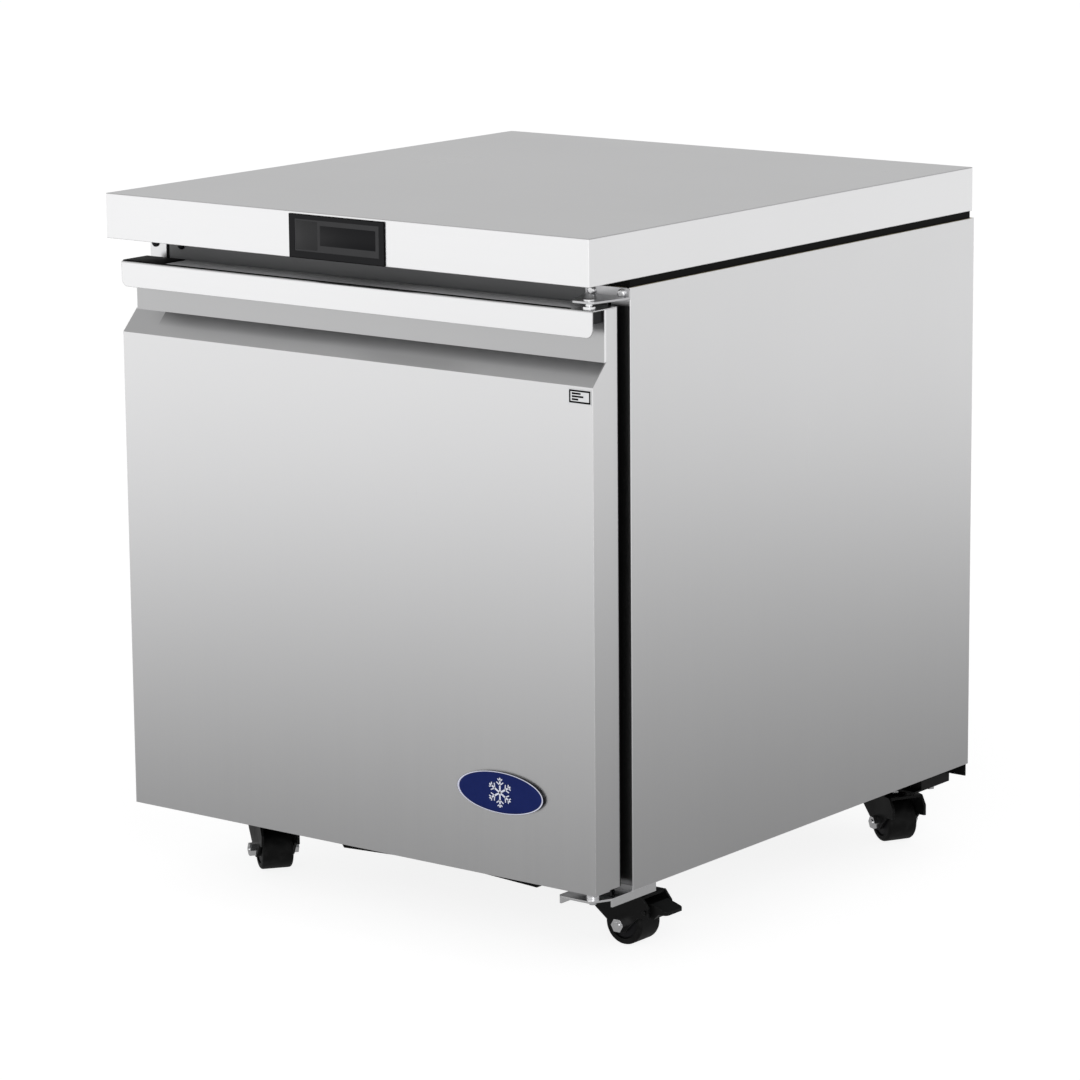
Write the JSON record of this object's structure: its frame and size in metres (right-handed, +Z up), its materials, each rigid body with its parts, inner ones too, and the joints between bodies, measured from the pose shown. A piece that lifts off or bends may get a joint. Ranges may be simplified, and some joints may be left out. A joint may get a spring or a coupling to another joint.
{
  "type": "undercounter refrigerator",
  "caption": "Single-door undercounter refrigerator: flat steel worktop, recessed full-width door pull, right-hand hinged door, wire shelves inside, low swivel casters.",
  "frame": {"origin": "centre of the object's footprint, on the floor under the wheels", "axes": "+Z up, -Y out of the door side, +X towards the hinge side"},
  "size_m": [0.6984, 0.7656, 0.826],
  "materials": {
    "stainless": "brushed stainless sheet",
    "galvanised": "galvanised sheet, satin",
    "plated_steel": "bright zinc plate",
    "black_paint": "black powder coat",
    "grey_abs": "dark grey moulded plastic",
    "black_abs": "black moulded plastic",
    "display_glass": "smoked window, gloss",
    "foam": "rigid foam",
    "liner": "embossed aluminium liner",
    "white_abs": "white moulded plastic",
    "seal_rubber": "soft black seal",
    "nylon": "black nylon",
    "wheel_rubber": "black moulded wheel",
    "copper": "copper tube",
    "fin_aluminium": "thin fins",
    "coated_wire": "epoxy-coated wire",
    "badge_enamel": "blue enamel with a pale rim",
    "label_film": "printed film"
  },
  "bodies": {
    "cabinet": {"back_panel": "galvanised", "bottom_panel": "galvanised", "breaker_frame": "grey_abs", "caster_channels": "black_paint", "caster_plates": "black_paint", "compressor": "black_paint", "compressor_base": "black_paint", "compressor_mounts": "seal_rubber", "condenser_coil": "fin_aluminium", "condenser_fan_motor": "black_paint", "control_box": "grey_abs", "cord_gland": "nylon", "display_bezel": "black_abs", "display_window": "display_glass", "drain_pan": "white_abs", "evaporator_coil": "fin_aluminium", "evaporator_cover": "white_abs", "evaporator_fan_motor": "black_abs", "foam_insulation": "foam", "hinge_bracket_bottom": "plated_steel", "hinge_bracket_top": "plated_steel", "hinge_pins": "plated_steel", "inner_liner": "liner", "m6_bolts": "plated_steel", "rear_grille": "galvanised", "refrigerant_lines": "copper", "shelf_supports": "plated_steel", "side_panel_left": "stainless", "side_panel_right": "stainless", "tray_rails": "galvanised", "worktop": "stainless", "worktop_core": "foam", "worktop_spacer": "black_abs"},
    "door": {"door_skin": "stainless", "door_foam": "foam", "door_pull": "stainless", "door_liner": "white_abs", "door_gasket": "seal_rubber", "hinge_bushes": "nylon", "door_badge": "badge_enamel", "door_label": "label_film"},
    "caster_front_left": {"yoke_front_left": "black_paint", "axle_front_left": "plated_steel"},
    "roller_front_left": {"wheel_front_left": "wheel_rubber"},
    "caster_front_right": {"yoke_front_right": "black_paint", "axle_front_right": "plated_steel"},
    "roller_front_right": {"wheel_front_right": "wheel_rubber"},
    "pedal_front_right": {"brake_pedal_front_right": "black_paint"},
    "caster_rear_left": {"yoke_rear_left": "black_paint", "axle_rear_left": "plated_steel"},
    "roller_rear_left": {"wheel_rear_left": "wheel_rubber"},
    "pedal_rear_left": {"brake_pedal_rear_left": "black_paint"},
    "caster_rear_right": {"yoke_rear_right": "black_paint", "axle_rear_right": "plated_steel"},
    "roller_rear_right": {"wheel_rear_right": "wheel_rubber"},
    "evaporator_rotor": {"evaporator_fan": "black_abs"},
    "condenser_rotor": {"condenser_fan": "black_abs"},
    "tray": {"condensate_tray": "black_abs"},
    "lower_shelf": {"shelf_lower": "coated_wire"},
    "upper_shelf": {"shelf_upper": "coated_wire"}
  },
  "joints": [
    {"name": "door_hinge", "type": "hinge", "parent": "cabinet", "child": "door", "pos_m": [0.3295, -0.35525, 0.42], "axis": [0, 0, 1], "range_deg": [0, 120], "stiffness_Nm_per_rad": 1.2, "springref_deg": -22.92},
    {"name": "swivel_front_left", "type": "hinge", "parent": "cabinet", "child": "caster_front_left", "pos_m": [-0.263, -0.21425, 0.06], "axis": [0, 0, 1], "continuous": true},
    {"name": "roll_front_left", "type": "hinge", "parent": "caster_front_left", "child": "roller_front_left", "pos_m": [-0.24942, -0.22448, 0.025], "axis": [0.6018, 0.7986, 0], "continuous": true},
    {"name": "swivel_front_right", "type": "hinge", "parent": "cabinet", "child": "caster_front_right", "pos_m": [0.263, -0.21425, 0.06], "axis": [0, 0, 1], "continuous": true},
    {"name": "roll_front_right", "type": "hinge", "parent": "caster_front_right", "child": "roller_front_right", "pos_m": [0.28, -0.21425, 0.025], "axis": [0, 1, 0], "continuous": true},
    {"name": "brake_front_right", "type": "hinge", "parent": "caster_front_right", "child": "pedal_front_right", "pos_m": [0.313, -0.21425, 0.044], "axis": [0, 1, 0], "range_deg": [0, 12]},
    {"name": "swivel_rear_left", "type": "hinge", "parent": "cabinet", "child": "caster_rear_left", "pos_m": [-0.269, 0.32575, 0.06], "axis": [0, 0, 1], "continuous": true},
    {"name": "roll_rear_left", "type": "hinge", "parent": "caster_rear_left", "child": "roller_rear_left", "pos_m": [-0.28441, 0.33293, 0.025], "axis": [-0.4226, -0.9063, 0], "continuous": true},
    {"name": "brake_rear_left", "type": "hinge", "parent": "caster_rear_left", "child": "pedal_rear_left", "pos_m": [-0.31432, 0.34688, 0.044], "axis": [-0.4226, -0.9063, 0], "range_deg": [0, 12]},
    {"name": "swivel_rear_right", "type": "hinge", "parent": "cabinet", "child": "caster_rear_right", "pos_m": [0.269, 0.32575, 0.06], "axis": [0, 0, 1], "continuous": true},
    {"name": "roll_rear_right", "type": "hinge", "parent": "caster_rear_right", "child": "roller_rear_right", "pos_m": [0.28401, 0.31777, 0.025], "axis": [0.4695, 0.8829, 0], "continuous": true},
    {"name": "evaporator_fan_spin", "type": "hinge", "parent": "cabinet", "child": "evaporator_rotor", "pos_m": [0, 0.27, 0.612], "axis": [0, 1, 0], "continuous": true},
    {"name": "condenser_fan_spin", "type": "hinge", "parent": "cabinet", "child": "condenser_rotor", "pos_m": [0.18, 0.298, 0.198], "axis": [0, 1, 0], "continuous": true},
    {"name": "tray_slide", "type": "slide", "parent": "cabinet", "child": "tray", "axis": [0, -1, 0], "range_m": [0, 0.2]},
    {"name": "lower_shelf_lift", "type": "slide", "parent": "cabinet", "child": "lower_shelf", "axis": [0, 0, 1], "range_m": [0, 0.02]},
    {"name": "upper_shelf_lift", "type": "slide", "parent": "cabinet", "child": "upper_shelf", "axis": [0, 0, 1], "range_m": [0, 0.02]}
  ]
}
